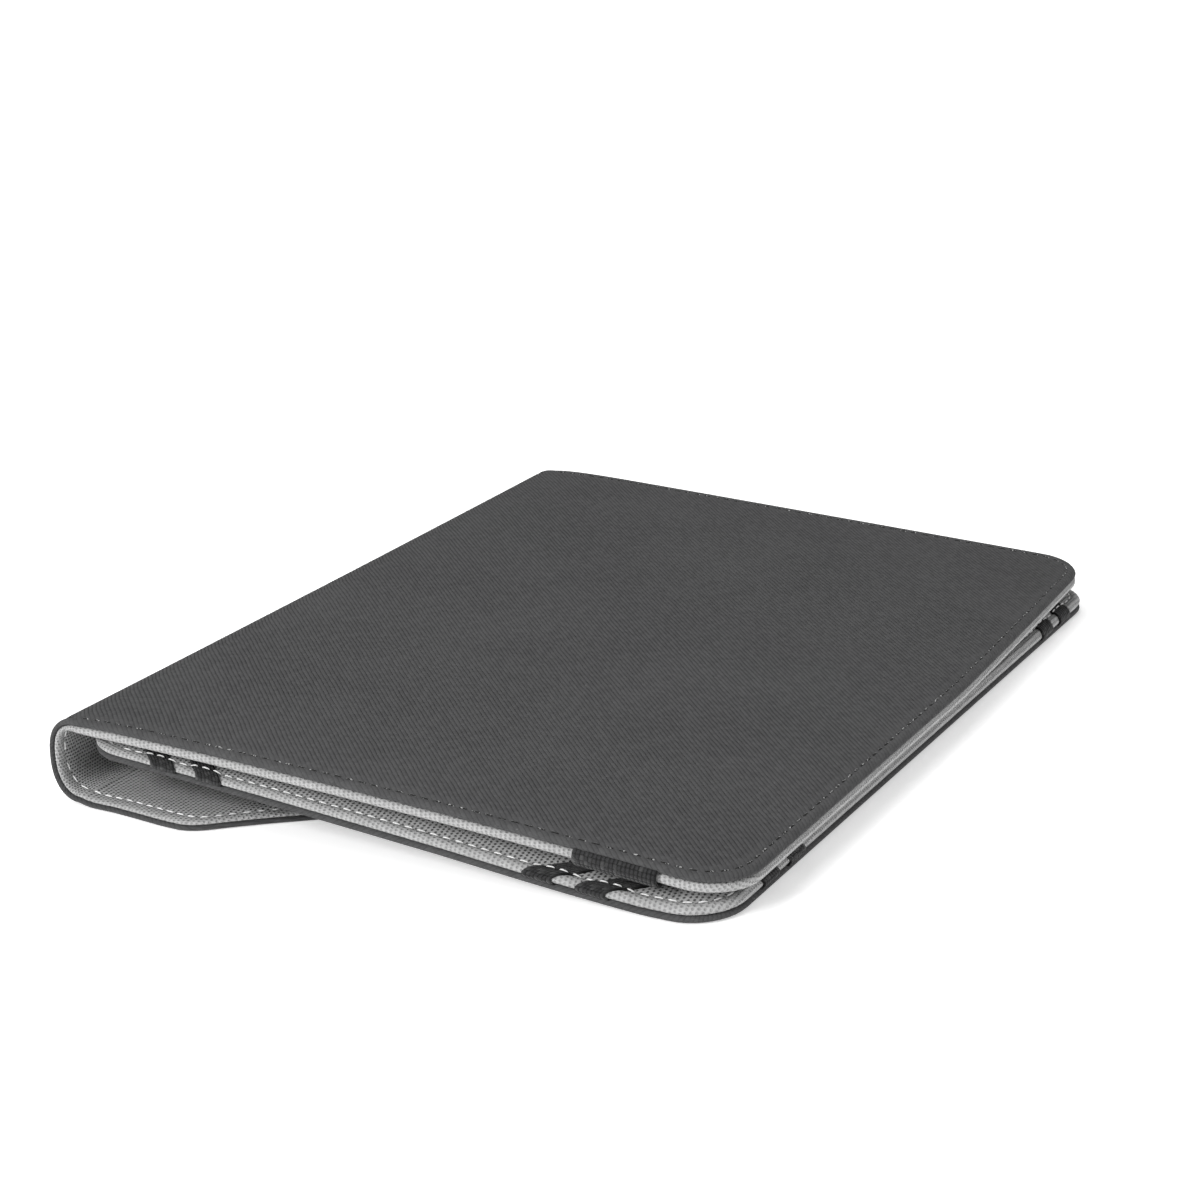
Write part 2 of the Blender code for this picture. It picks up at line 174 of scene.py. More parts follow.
def mesh_piece(name, points, faces, fabric, edge, material, upward):
    mesh = bpy.data.meshes.new(name)
    mesh.from_pydata(points, [], faces)
    flat = np.array(fabric, dtype=float).reshape(-1, 2)
    corners = np.empty(len(mesh.loops), dtype=np.int32)
    mesh.loops.foreach_get("vertex_index", corners)
    layer = mesh.uv_layers.new(name="fabric")
    layer.data.foreach_set("uv", flat[corners].ravel())
    if edge is not None:
        kept = mesh.attributes.new("edge", "FLOAT", "POINT")
        kept.data.foreach_set("value", np.array(edge, dtype=np.float32).ravel())
    bm = bmesh.new()
    bm.from_mesh(mesh)
    bmesh.ops.remove_doubles(bm, verts=bm.verts, dist=2e-6)
    bmesh.ops.dissolve_degenerate(bm, edges=bm.edges, dist=1e-6)
    bmesh.ops.recalc_face_normals(bm, faces=bm.faces)
    total = sum((face.normal.z * face.calc_area() for face in bm.faces), 0.0)
    if (total > 0) != upward:
        bmesh.ops.reverse_faces(bm, faces=bm.faces)
    bm.to_mesh(mesh)
    bm.free()
    mesh.shade_smooth()
    if material is not None:
        mesh.materials.append(material)
    return link(bpy.data.objects.new(name, mesh))


def shader_group(name, sizes, outputs):
    """A node group that takes a fabric place and named sizes, with its input and output nodes."""
    group = bpy.data.node_groups.new(name, "ShaderNodeTree")
    group.interface.new_socket(name="Vector", in_out="INPUT", socket_type="NodeSocketVector")
    for label, value in sizes.items():
        size = group.interface.new_socket(name=label, in_out="INPUT", socket_type="NodeSocketFloat")
        size.default_value = value
    for label in outputs:
        group.interface.new_socket(name=label, in_out="OUTPUT", socket_type="NodeSocketFloat")
    return group, group.nodes.new("NodeGroupInput"), group.nodes.new("NodeGroupOutput")


def wire(tree, socket, value):
    if isinstance(value, bpy.types.NodeSocket):
        tree.links.new(value, socket)
    else:
        socket.default_value = value


def maths(tree, operation, *values):
    node = tree.nodes.new("ShaderNodeMath")
    node.operation = operation
    for socket, value in zip(node.inputs, values):
        wire(tree, socket, value)
    return node.outputs[0]


def times(tree, one, two):
    return maths(tree, "MULTIPLY", one, two)


def swell(tree, value, power):
    """A round rise and fall over each whole number of value."""
    return maths(tree, "POWER", maths(tree, "SINE", times(tree, maths(tree, "FRACT", value), math.pi)), power)


def smooth_step(tree, value, low, high):
    node = tree.nodes.new("ShaderNodeMapRange")
    node.interpolation_type = "SMOOTHSTEP"
    wire(tree, node.inputs["Value"], value)
    wire(tree, node.inputs["From Min"], low)
    wire(tree, node.inputs["From Max"], high)
    return node.outputs["Result"]


def noise(tree, vector, scale, detail=2.0):
    node = add_node(tree, "ShaderNodeTexNoise", Scale=scale, Detail=detail)
    wire(tree, node.inputs["Vector"], vector)
    return node.outputs["Fac"]


def split_xy(tree, vector):
    node = tree.nodes.new("ShaderNodeSeparateXYZ")
    wire(tree, node.inputs[0], vector)
    return node.outputs["X"], node.outputs["Y"]


def random_tone(tree, x, y):
    """A number from 0 to 1 for each whole-number cell."""
    place = tree.nodes.new("ShaderNodeCombineXYZ")
    wire(tree, place.inputs["X"], maths(tree, "FLOOR", x))
    wire(tree, place.inputs["Y"], maths(tree, "FLOOR", y))
    tone = tree.nodes.new("ShaderNodeTexWhiteNoise")
    tree.links.new(place.outputs[0], tone.inputs["Vector"])
    return tone.outputs["Value"]


def twill_group():
    """Twill: slanted ribs, each a row of short yarn floats staggered against the next."""
    sizes = {"Rib Pitch": 0.00117, "Rib Turn": math.radians(47.3), "Float Length": 0.0016}
    group, source, result = shader_group("Twill", sizes, ("Height", "Groove", "Tone"))
    u, v = split_xy(group, source.outputs["Vector"])
    turn = source.outputs["Rib Turn"]
    cosine, sine = maths(group, "COSINE", turn), maths(group, "SINE", turn)
    across = maths(group, "ADD", times(group, u, cosine), times(group, v, sine))
    along = maths(group, "SUBTRACT", times(group, v, cosine), times(group, u, sine))
    drift = maths(group, "SUBTRACT", noise(group, source.outputs["Vector"], 90.0), 0.5)
    waver = times(group, drift, 0.5)
    rib = maths(group, "ADD", maths(group, "DIVIDE", across, source.outputs["Rib Pitch"]), waver)
    step = times(group, maths(group, "FLOOR", rib), 0.37)
    yarn = maths(group, "ADD", maths(group, "DIVIDE", along, source.outputs["Float Length"]), step)
    yarn_top = maths(group, "MULTIPLY_ADD", swell(group, yarn, 0.5), 0.35, 0.65)
    height = times(group, swell(group, rib, 0.6), yarn_top)
    wire(group, result.inputs["Height"], height)
    wire(group, result.inputs["Groove"], maths(group, "SUBTRACT", 1.0, smooth_step(group, height, 0.1, 0.75)))
    wire(group, result.inputs["Tone"], random_tone(group, rib, yarn))
    return group


def lint_group():
    """Sparse specks of lint and a slow unevenness of the cloth's tone."""
    group, source, result = shader_group("Lint", {"Speck Scale": 900.0}, ("Speck", "Uneven"))
    specks = group.nodes.new("ShaderNodeTexVoronoi")
    group.links.new(source.outputs["Vector"], specks.inputs["Vector"])
    group.links.new(source.outputs["Speck Scale"], specks.inputs["Scale"])
    near = maths(group, "SUBTRACT", 1.0, smooth_step(group, specks.outputs["Distance"], 0.08, 0.2))
    rare = maths(group, "GREATER_THAN", noise(group, source.outputs["Vector"], 160.0, 3.0), 0.66)
    wire(group, result.inputs["Speck"], times(group, near, rare))
    wire(group, result.inputs["Uneven"], noise(group, source.outputs["Vector"], 22.0, 4.0))
    return group


def add_group(tree, group, **values):
    node = tree.nodes.new("ShaderNodeGroup")
    node.node_tree = group
    for label, value in values.items():
        wire(tree, node.inputs[label.replace("_", " ")], value)
    return node


def fabric_place(tree):
    node = tree.nodes.new("ShaderNodeUVMap")
    node.uv_map = "fabric"
    return node.outputs["UV"]


def mix_color(tree, factor, one, two):
    node = tree.nodes.new("ShaderNodeMix")
    node.data_type = "RGBA"
    wire(tree, node.inputs["Factor"], factor)
    wire(tree, node.inputs["A"], one)
    wire(tree, node.inputs["B"], two)
    return node.outputs["Result"]


def add_bump(tree, height, distance):
    node = add_node(tree, "ShaderNodeBump", Distance=distance)
    wire(tree, node.inputs["Height"], height)
    return node.outputs["Normal"]


def cloth_material(name, roughness, sheen):
    material = bpy.data.materials.new(name)
    material.use_nodes = True
    shader = material.node_tree.nodes["Principled BSDF"]
    shader.inputs["Roughness"].default_value = roughness
    shader.inputs["Sheen Weight"].default_value = sheen
    shader.inputs["Sheen Roughness"].default_value = 0.5
    shader.inputs["Specular IOR Level"].default_value = 0.15
    return material, material.node_tree, shader


lint = lint_group()
twill = twill_group()


def twill_material(name, edge_calm):
    """Dark grey twill. edge_calm softens the ribs between the stitching and the turned edge."""
    rib_color = (0.056, 0.056, 0.057, 1.0)
    groove_color = (0.018, 0.018, 0.019, 1.0)
    bright_yarn = (0.095, 0.095, 0.096, 1.0)
    lint_color = (0.20, 0.20, 0.20, 1.0)
    material, tree, shader = cloth_material(name, 0.90, 0.02)
    place = fabric_place(tree)
    weave = add_group(tree, twill, Vector=place)
    dust = add_group(tree, lint, Vector=place)
    distance = tree.nodes.new("ShaderNodeAttribute")
    distance.attribute_name = "edge"
    inside = smooth_step(tree, distance.outputs["Fac"], 0.0044, 0.0062)
    strength = maths(tree, "MULTIPLY_ADD", inside, edge_calm, 1.0 - edge_calm)
    groove = times(tree, weave.outputs["Groove"], strength)
    color = mix_color(tree, groove, rib_color, groove_color)
    lift = times(tree, weave.outputs["Tone"], 0.35)
    color = mix_color(tree, lift, color, bright_yarn)
    uneven = times(tree, smooth_step(tree, dust.outputs["Uneven"], 0.35, 0.75), 0.16)
    color = mix_color(tree, uneven, color, bright_yarn)
    color = mix_color(tree, times(tree, dust.outputs["Speck"], 0.5), color, lint_color)
    wire(tree, shader.inputs["Base Color"], color)
    height = times(tree, weave.outputs["Height"], strength)
    wire(tree, shader.inputs["Normal"], add_bump(tree, height, 0.00022))
    return material


twill_cloth = twill_material("grey_twill_cloth", 0.45)

# A turned edge in section, from inside the panel, over the edge and back underneath: how far in
# from the edge, and how far below the cloth's face as a share of the edge's thickness.
edge_round = [
    (0.0013, 0.02), (0.0008, 0.07), (0.0003, 0.16), (0.0, 0.30), (-0.0002, 0.48),
    (-0.0002, 0.66), (0.0, 0.84), (0.0004, 0.96), (0.0010, 1.0), (0.0060, 1.0),
]
stitch_sink = 0.12


def turned_edge(stitch_inset):
    """The section with its stitch channel at the given distance from the edge."""
    channel = [(0.0022, 0.0), (0.0012, 0.02), (0.0006, 0.07), (0.0002, stitch_sink), (-0.0002, stitch_sink)]
    channel += [(-0.0006, 0.07), (-0.0011, 0.02)]
    channel = [(stitch_inset + off, depth) for off, depth in channel]
    return [(0.0120, 0.0), (0.0090, 0.0)] + channel + edge_round


flap_stitch_inset = 0.0050
cover_stitch_inset = 0.0027


def unrolled(profile, thickness):
    """How far each point of a turned edge lies from the edge once the cloth is flat."""
    flat = [profile[0][0]]
    for (inset, depth), (last_inset, last_depth) in zip(profile[1:], profile):
        flat.append(flat[-1] - math.hypot(inset - last_inset, (depth - last_depth) * thickness))
    return flat


flap_low, flap_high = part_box("flap_shell")
flap_half = flap_high[1] + 0.0004
spine_half_length = 0.022  # cloth from a crease to the middle of the spine
flap_end = flap_high[0]
flap_shell_thickness = 0.0013
flap_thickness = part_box("flap_lining")[1][2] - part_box("flap_lining")[0][2]
flap_toe_lift = 0.0008
flap_toe_width = 0.006
flap_cut_start = crease.x + 0.036
flap_cut_angle = math.radians(34)
flap_cut_radius = 0.014
tongue_half = (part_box("hinge_tab")[1][1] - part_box("hinge_tab")[0][1]) / 2


flap_ear_reach = [0.0, 0.012, 0.022, 0.030, 0.036, 0.042, 0.050, 0.058]
flap_ear_size = [0.0, 0.0002, 0.0011, 0.0020, 0.0022, 0.0015, 0.0004, 0.0]


def flap_ear(distance):
    """How much further the flap's corners stand out, by distance from the crease."""
    return float(np.interp(distance, flap_ear_reach, flap_ear_size))


def flap_stations():
    """Places along the flap: x, half length there, and how much the edge slants."""
    stations = [(crease.x + flap_toe_width * i / 24, flap_half, 0.0) for i in range(25)]
    stations += [(flap_cut_start - 0.028 + 0.004 * i, flap_half, 0.0) for i in range(8)]
    for i in range(11):
        turn = flap_cut_angle * i / 10
        x = flap_cut_start + flap_cut_radius * math.sin(turn)
        stations.append((x, flap_half - flap_cut_radius * (1 - math.cos(turn)), turn))
    x, half, _ = stations[-1]
    cut_end = x + (half - tongue_half) / math.tan(flap_cut_angle)
    for i in range(1, 13):
        share = i / 12
        stations.append((x + (cut_end - x) * share, half + (tongue_half - half) * share, flap_cut_angle))
    tongue_start = cut_end + 0.002
    stations += [(tongue_start + (flap_end - tongue_start) * i / 10, tongue_half, 0.0) for i in range(11)]
    return [(x, half + flap_ear(x - crease.x), slant) for x, half, slant in stations]


well_inside = 0.03  # stands for any place far from an edge
edge_zone = 0.02


def section_row(profile, flat, half, thickness, base, middle, stretch=1.0):
    """A cloth's section from one long edge to the other: y, depth and distance from the edge."""
    ends = []
    for (inset, depth), away in zip(profile, flat):
        ends.append((half - inset * stretch, base + depth * thickness, away))
    inner = half - profile[0][0] * stretch
    row = [(-y, depth, away) for y, depth, away in reversed(ends)]
    row += [(share * inner, base + profile[0][1] * thickness, well_inside) for share in middle]
    return row + ends


def flat_places(along, half, row):
    """Where a section's points lie on the flat cloth."""
    return [(along, math.copysign(half - away, y) if away < edge_zone else y) for y, depth, away in row]


def flap_lift(x):
    share = max(0.0, 1 - (x - crease.x) / flap_toe_width)
    return flap_toe_lift * share * share


pucker_place, pucker_width, pucker_fade = 0.001, 0.0007, 0.004


def flap_rows(profile, thickness, face, ridge=0.0):
    """Rows across the flap; face is the height of the panel's outer face over the floor. ridge is
    how high the fabric puckers up along the crease."""
    flat = unrolled(profile, thickness)
    middle = [(i / 30 * 2 - 1) for i in range(1, 30)]
    rows, fabric, edge = [], [], []
    for x, half, slant in flap_stations():
        row = section_row(profile, flat, half, thickness, flap_lift(x) + face, middle, 1 / math.cos(slant))
        pucker = ridge * math.exp(-(((x - crease.x - pucker_place) / pucker_width) ** 2))
        rows.append([(x, y, z + pucker * min(1.0, away / pucker_fade)) for y, z, away in row])
        fabric += flat_places(-2 * spine_half_length - (x - crease.x), half, row)
        edge += [away for y, z, away in row]
    return rows, fabric, edge


def fit(piece, body, slot, *stands_for):
    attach(piece, body)
    if stands_for:
        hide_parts(*stands_for)


rows, fabric, edge = flap_rows(turned_edge(flap_stitch_inset), flap_shell_thickness, 0.0)
flap_cloth = grid_piece("flap_cloth", rows, fabric, edge, twill_cloth, upward=False)
fit(flap_cloth, "flap", "grey_twill", "flap_shell", "flap_board")
flap_hems = 2 * 0.006
flap_flat_area = sum(
    (b[1] + a[1] + flap_hems) * (b[0] - a[0]) for a, b in zip(flap_stations(), flap_stations()[1:])
)

# ----------------------------------------------------------
# Flap lining: light spacer mesh with rows of small holes, sewn to the twill 5 mm inside the
# edge with a white lockstitch that pulls a shallow channel into it.
# ----------------------------------------------------------


def spacer_mesh_group():
    """Knitted mesh: small round holes in staggered rows between soft strands."""
    sizes = {"Pitch Across": 0.00138, "Pitch Along": 0.00105, "Hole": 0.00036}
    group, source, result = shader_group("Spacer mesh", sizes, ("Hole", "Height", "Tone"))
    u, v = split_xy(group, source.outputs["Vector"])
    pitch_u, pitch_v = source.outputs["Pitch Across"], source.outputs["Pitch Along"]
    drift = maths(group, "SUBTRACT", noise(group, source.outputs["Vector"], 300.0), 0.5)
    waver = times(group, drift, 0.45)
    across = maths(group, "ADD", maths(group, "DIVIDE", u, pitch_u), waver)
    stagger = times(group, maths(group, "FLOOR", across), 0.36)
    along = maths(group, "ADD", maths(group, "ADD", maths(group, "DIVIDE", v, pitch_v), waver), stagger)
    x = times(group, maths(group, "SUBTRACT", maths(group, "FRACT", across), 0.5), pitch_u)
    y = times(group, maths(group, "SUBTRACT", maths(group, "FRACT", along), 0.5), pitch_v)
    away = maths(group, "SQRT", maths(group, "ADD", times(group, x, x), times(group, y, y)))
    hole = source.outputs["Hole"]
    open_part = smooth_step(group, away, times(group, hole, 0.35), times(group, hole, 1.45))
    wire(group, result.inputs["Hole"], maths(group, "SUBTRACT", 1.0, open_part))
    strands = times(group, noise(group, source.outputs["Vector"], 2600.0, 1.0), 0.25)
    wire(group, result.inputs["Height"], maths(group, "ADD", open_part, strands))
    wire(group, result.inputs["Tone"], random_tone(group, across, along))
    return group


spacer_mesh = spacer_mesh_group()


def mesh_material(name):
    """Pale grey mesh. Its holes show less where the cloth is pulled round an edge."""
    strand_color = (0.36, 0.36, 0.36, 1.0)
    pale_strand = (0.48, 0.48, 0.48, 1.0)
    hole_color = (0.050, 0.050, 0.050, 1.0)
    soil_color = (0.32, 0.32, 0.32, 1.0)
    material, tree, shader = cloth_material(name, 0.92, 0.05)
    place = fabric_place(tree)
    knit = add_group(tree, spacer_mesh, Vector=place)
    dust = add_group(tree, lint, Vector=place)
    color = mix_color(tree, times(tree, knit.outputs["Tone"], 0.5), strand_color, pale_strand)
    uneven = times(tree, smooth_step(tree, dust.outputs["Uneven"], 0.4, 0.8), 0.3)
    color = mix_color(tree, uneven, color, soil_color)
    border = tree.nodes.new("ShaderNodeAttribute")
    border.attribute_name = "edge"
    inside = smooth_step(tree, border.outputs["Fac"], 0.0008, 0.0045)
    slack = maths(tree, "MULTIPLY_ADD", inside, 0.6, 0.36)
    color = mix_color(tree, times(tree, knit.outputs["Hole"], slack), color, hole_color)
    wire(tree, shader.inputs["Base Color"], color)
    wire(tree, shader.inputs["Normal"], add_bump(tree, knit.outputs["Height"], 0.00025))
    return material


mesh_lining = mesh_material("light_mesh_lining")


def thread_material(name, color, painted_glint, start, end):
    """Sewing thread with a painted highlight: glint flecks painted into its colour where the twist noise runs
    from start to end. The same noise also bumps the thread.
    """
    material, tree, shader = cloth_material(name, 0.6, 0.2)
    place = tree.nodes.new("ShaderNodeTexCoord").outputs["Object"]
    twist_and_glint = noise(tree, place, 1800.0, 1.0)
    # painted highlight: the glint colour is mixed into the base colour as flecks
    painted_glint_color = mix_color(tree, smooth_step(tree, twist_and_glint, start, end), color, painted_glint)
    wire(tree, shader.inputs["Base Color"], painted_glint_color)
    wire(tree, shader.inputs["Normal"], add_bump(tree, twist_and_glint, 0.0001))
    return material


# The second colour of each thread is its painted highlight, the glint flecks.
white_thread = thread_material("white_thread", (0.78, 0.78, 0.78, 1.0), (0.95, 0.95, 0.95, 1.0), 0.35, 0.6)
grey_thread = thread_material("grey_thread", (0.010, 0.010, 0.010, 1.0), (0.38, 0.38, 0.38, 1.0), 0.58, 0.66)


def stitch_row(name, path, ups, material, pitch=0.0038, length=0.0025, radius=0.00024):
    """A row of short thread loops along a path; each end dips into the cloth."""
    path = np.array(path)
    ups = np.array(ups)
    steps = np.linalg.norm(np.diff(path, axis=0), axis=1)
    distance = np.concatenate([[0], np.cumsum(steps)])
    shape = [(-0.5, 0.25), (-0.42, 0.75), (-0.2, 1.0), (0.2, 1.0), (0.42, 0.75), (0.5, 0.25)]
    sides = 6
    points, faces, fabric = [], [], []

    def at_distance(at, values):
        return np.array([np.interp(at, distance, values[:, k]) for k in range(3)])

    for start in np.arange(pitch / 2, distance[-1] - pitch / 2, pitch):
        first = len(points)
        for along, size in shape:
            at = start + along * length
            centre = at_distance(at, path)
            ahead = at_distance(at + 1e-4, path) - centre
            up = at_distance(at, ups)
            up /= np.linalg.norm(up)
            side = np.cross(ahead / max(np.linalg.norm(ahead), 1e-9), up)
            centre = centre + up * radius * (1.6 * size - 1.1)
            for turn in range(sides):
                angle = 2 * math.pi * turn / sides
                offset = side * math.cos(angle) * 1.1 + up * math.sin(angle) * 0.8
                points.append(tuple(centre + offset * radius * size))
                fabric.append((at, angle * radius))
        for ring in range(len(shape) - 1):
            for turn in range(sides):
                a = first + ring * sides + turn
                b = first + ring * sides + (turn + 1) % sides
                faces.append((a, b, b + sides, a + sides))
        faces.append(tuple(range(first + sides - 1, first - 1, -1)))
        last = first + (len(shape) - 1) * sides
        faces.append(tuple(range(last, last + sides)))
    return mesh_piece(name, points, faces, fabric, None, material, True)


# The lining in section, from under the twill's turned edge, round its own soft edge and over
# its face: how far in from the shell's edge, and how far towards its face as a share.
lining_sink = 0.80


def lining_edge(stitch_inset, setback, hem):
    """The lining's section; hem is how much thicker it is outside the stitches than inside."""
    channel = [(0.0020, 1.0), (0.0011, 0.96), (0.0006, 0.88), (0.0002, lining_sink), (-0.0002, lining_sink)]
    channel += [(-0.0006, 0.5 * lining_sink + 0.5 * hem), (-0.0011, 0.95 * hem), (-0.0016, hem)]
    roll = [(0.0011, 0.98), (0.0006, 0.90), (0.0002, 0.74), (0.0, 0.55), (0.0, 0.36)]
    roll += [(0.0002, 0.18), (0.0007, 0.04)]
    section = [(0.0120, 1.0), (0.0090, 1.0)] + [(stitch_inset + off, rise) for off, rise in channel]
    return section + [(setback + off, rise * hem) for off, rise in roll] + [(setback + 0.0020, 0.0)]


flap_lining_base = flap_shell_thickness
flap_lining_rise = 0.00118
flap_lining_setback = 0.0008
flap_lining_edge = lining_edge(flap_stitch_inset, flap_lining_setback, 1.0)
rows, fabric, edge = flap_rows(flap_lining_edge, flap_lining_rise, flap_lining_base, ridge=0.0004)
flap_lining = grid_piece("flap_mesh_lining", rows, fabric, edge, mesh_lining, upward=True)
fit(flap_lining, "flap", "light_mesh", "flap_lining")


def sew(name, body, slot, path, up):
    """A row of stitches, white through mesh and grey through twill; up is which way it faces."""
    thread = white_thread if slot == "light_mesh" else grey_thread
    fit(stitch_row(name, path, [(0, 0, up)] * len(path), thread), body, slot)


first_stitch = 0.0008  # from the crease
lining_seam = flap_lining_base + lining_sink * flap_lining_rise
under_seam = stitch_sink * flap_shell_thickness
seams = [("flap_stitches", "light_mesh", lining_seam, 1)]
seams.append(("flap_under_stitches", "grey_twill", under_seam, -1))
for seam_name, slot, height, up in seams:
    for side_name, side in (("near", -1), ("far", 1)):
        path = []
        for x, half, slant in flap_stations():
            y = side * (half - flap_stitch_inset / math.cos(slant))
            path.append((x + first_stitch, y, flap_lift(x) + height))
        sew(f"{seam_name}_{side_name}", "flap", slot, path, up)

# ----------------------------------------------------------
# Spine cloth and lining: the same twill and mesh run on round the swollen spine, over a flexible
# stiffener. Each is in two halves, one on each side of the middle of the bend.
# ----------------------------------------------------------
quarter = math.radians(90)
cover_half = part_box("cover_shell")[1][1]
spine_low, spine_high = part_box("spine_shell")
spine_bulge = crease.x - spine_low[0]
roundness_low, roundness_high = 2.15, 2.5  # of the spine's section; 2 is an ellipse
ridge_dip = 0.0013  # how far the ridge lies below the spine's full height
near_rise = 0.0004  # how much less it dips at the near end
far_rise = 0.0007  # how much the far end stands higher
spine_foot = flap_toe_lift
spine_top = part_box("cover_shell")[1][2]
spine_steps = 56
spine_layers = {
    "shell": (0.0013, 0.0016, 0.0016),
    "lining_base": (0.0013, 0.0016, 0.00168),
    "lining": (flap_lining_rise, 0.0012, 0.00152),
}


def spine_at(name, turn):
    """A layer's size at a turn of the bend, meeting the flap's below and the cover's above."""
    low, middle, high = spine_layers[name]
    share = turn / quarter
    return middle + (high - middle) * share**4 if share > 0 else middle + (low - middle) * share**4


def spine_half_at(turn):
    """Half the spine's length: the cover is a little shorter than the flap."""
    share = 0.5 + 0.5 * turn / quarter
    return flap_half + (cover_half - flap_half) * share * share * (3 - 2 * share)


def spine_stitch_inset(turn):
    share = 0.5 + 0.5 * turn / quarter
    return flap_stitch_inset + (cover_stitch_inset - flap_stitch_inset) * share


def spine_point(turn, depth):
    """A point of the bent section and the outward direction there."""
    middle = (spine_top + spine_foot) / 2
    half_height = (spine_top - spine_foot) / 2
    roundness = roundness_high if turn > 0 else roundness_low
    power = 2 / roundness
    side = abs(math.cos(turn)) ** power
    rise = math.copysign(abs(math.sin(turn)) ** power, math.sin(turn))
    slope = roundness - 1
    out = Vector((-(side**slope) / spine_bulge, 0.0, math.copysign(abs(rise) ** slope, rise) / half_height))
    out.normalize()
    place = Vector((crease.x - spine_bulge * side, 0.0, middle + half_height * rise))
    return place - out * depth, out


def ridge_drop(y):
    """The ridge's dip at a place along the spine; it is smaller at the near end."""
    near = max(0.0, -y / flap_half)
    return ridge_dip - near_rise * near**3


def spine_sag(turn, y):
    """How far a point of the spine lies below the even section; only its upper half does."""
    rise = far_rise * max(0.0, y / flap_half) ** 1.5
    return (ridge_drop(y) - rise) * max(0.0, math.sin(turn)) ** 2


def spine_turns(low, high):
    return [low + (high - low) * i / spine_steps for i in range(spine_steps + 1)]


def spine_rows(turns, kind):
    """Rows along the spine, one for each turn of its bend."""
    middle = [(i / 40 * 2 - 1) for i in range(1, 40)]
    rows, fabric, edge = [], [], []
    along = 0.0
    last = None
    for turn in turns:
        place, out = spine_point(turn, 0.0)
        if last is not None:
            along += (place - last).length
        last = place
        half = spine_half_at(turn)
        inset = spine_stitch_inset(turn)
        if kind == "cloth":
            profile, thickness, base = turned_edge(inset), spine_at("shell", turn), 0.0
        else:
            hem = 1.0 + (cover_hem - 1.0) * (0.5 + 0.5 * turn / quarter) ** 2
            setback = flap_lining_setback * (0.5 - 0.5 * turn / quarter)
            profile = lining_edge(inset, setback, hem)
            thickness, base = spine_at("lining", turn), spine_at("lining_base", turn)
        row = section_row(profile, unrolled(profile, thickness), half, thickness, base, middle)
        points = [place - out * depth + Vector((0, y, -spine_sag(turn, y))) for y, depth, away in row]
        rows.append([tuple(point) for point in points])
        fabric += flat_places(along, half, row)
        edge += [away for y, depth, away in row]
    return rows, fabric, edge


cover_hem = 1.45  # how much thicker the cover's lining is outside its stitches than inside
spine_halves = {"lower": (-quarter, 0.0), "upper": (0.0, quarter)}


def bend_with(piece, half):
    """Bakes a half's placement into its mesh; both halves are treated the same."""
    if half == "lower":
        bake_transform(piece)
    else:
        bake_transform(piece)


for half, (low, high) in spine_halves.items():
    begins = -2 * spine_half_length if half == "lower" else -spine_half_length
    for kind, material in (("cloth", twill_cloth), ("mesh_lining", mesh_lining)):
        rows, fabric, edge = spine_rows(spine_turns(low, high), kind)
        placed = [(begins + u * spine_half_length / fabric[-1][0], v) for u, v in fabric]
        piece = grid_piece(f"spine_{kind}_{half}", rows, placed, edge, material, upward=half == "upper")
        if kind == "mesh_lining":
            piece.data.flip_normals()
        bend_with(piece, half)
        if half == "lower" and kind == "cloth":
            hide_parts("spine_shell", "spine_stiffener")
        elif half == "lower":
            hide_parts("spine_lining")
    for kind, sign, thread in (("stitches", 1, grey_thread), ("lining_stitches", -1, white_thread)):
        for side_name, side in (("near", -1), ("far", 1)):
            path, ups = [], []
            for turn in spine_turns(low, high):
                depth = stitch_sink * spine_at("shell", turn)
                if sign < 0:
                    depth = spine_at("lining_base", turn) + lining_sink * spine_at("lining", turn)
                place, out = spine_point(turn, depth)
                y = side * (spine_half_at(turn) - spine_stitch_inset(turn))
                path.append((place.x, y, place.z - spine_sag(turn, y)))
                ups.append(out * sign)
            piece = stitch_row(f"spine_{kind}_{side_name}_{half}", path, ups, thread)
            bend_with(piece, half)

# ----------------------------------------------------------
# Cover cloth: the large twill face over a stiff board, slightly arched at the near end, with two
# rounded corners, turned edges and a row of grey stitches in a shallow channel.
# ----------------------------------------------------------
cover_low, cover_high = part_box("cover_shell")
cover_end = cover_high[0]
cover_width = cover_end - crease.x
cover_radius = 0.015
cover_shell_thickness = 0.0020
cover_lining_thickness = 0.0019
cover_edge_height = 0.01295
near_arch = 0.0014
far_arch = 0.0001
far_skew = 0.0048  # how far the opening edge draws in at the far end
far_skew_starts = 0.55  # as a share of the length from the near end
dip_fade = 0.008  # how quickly the ridge's dip runs out over the cover
crease_thinning, thinning_fade = 0.2, 0.006


def outline(start, end, half, radius, inset, closed):
    """Points round a panel at an inset from its edge: along the near side, the end, the far side
    and, on a closed outline, back along the start. Corners are rounded at a closed side."""
    across, along, corner = 60, 80, 10
    curve = max(radius - inset, 0.0)
    x_high, y_high = end - inset - curve, half - inset - curve
    x_low = start + inset + curve if closed else start

    def side(one, two, count):
        dx, dy = two[0] - one[0], two[1] - one[1]
        return [(one[0] + dx * i / count, one[1] + dy * i / count) for i in range(count + 1)]

    def arc(x, y, first):
        turns = [first + quarter * i / corner for i in range(1, corner)]
        return [(x + curve * math.cos(turn), y + curve * math.sin(turn)) for turn in turns]

    points = side((x_low, -y_high - curve), (x_high, -y_high - curve), across)
    points += arc(x_high, -y_high, -quarter)
    points += side((x_high + curve, -y_high), (x_high + curve, y_high), along)
    points += arc(x_high, y_high, 0.0)
    points += side((x_high, y_high + curve), (x_low, y_high + curve), across)
    if closed:
        points += arc(x_low, y_high, quarter)
        points += side((x_low - curve, y_high), (x_low - curve, -y_high), along)
        points += arc(x_low, -y_high, 2 * quarter)
        points.append(points[0])
    return points


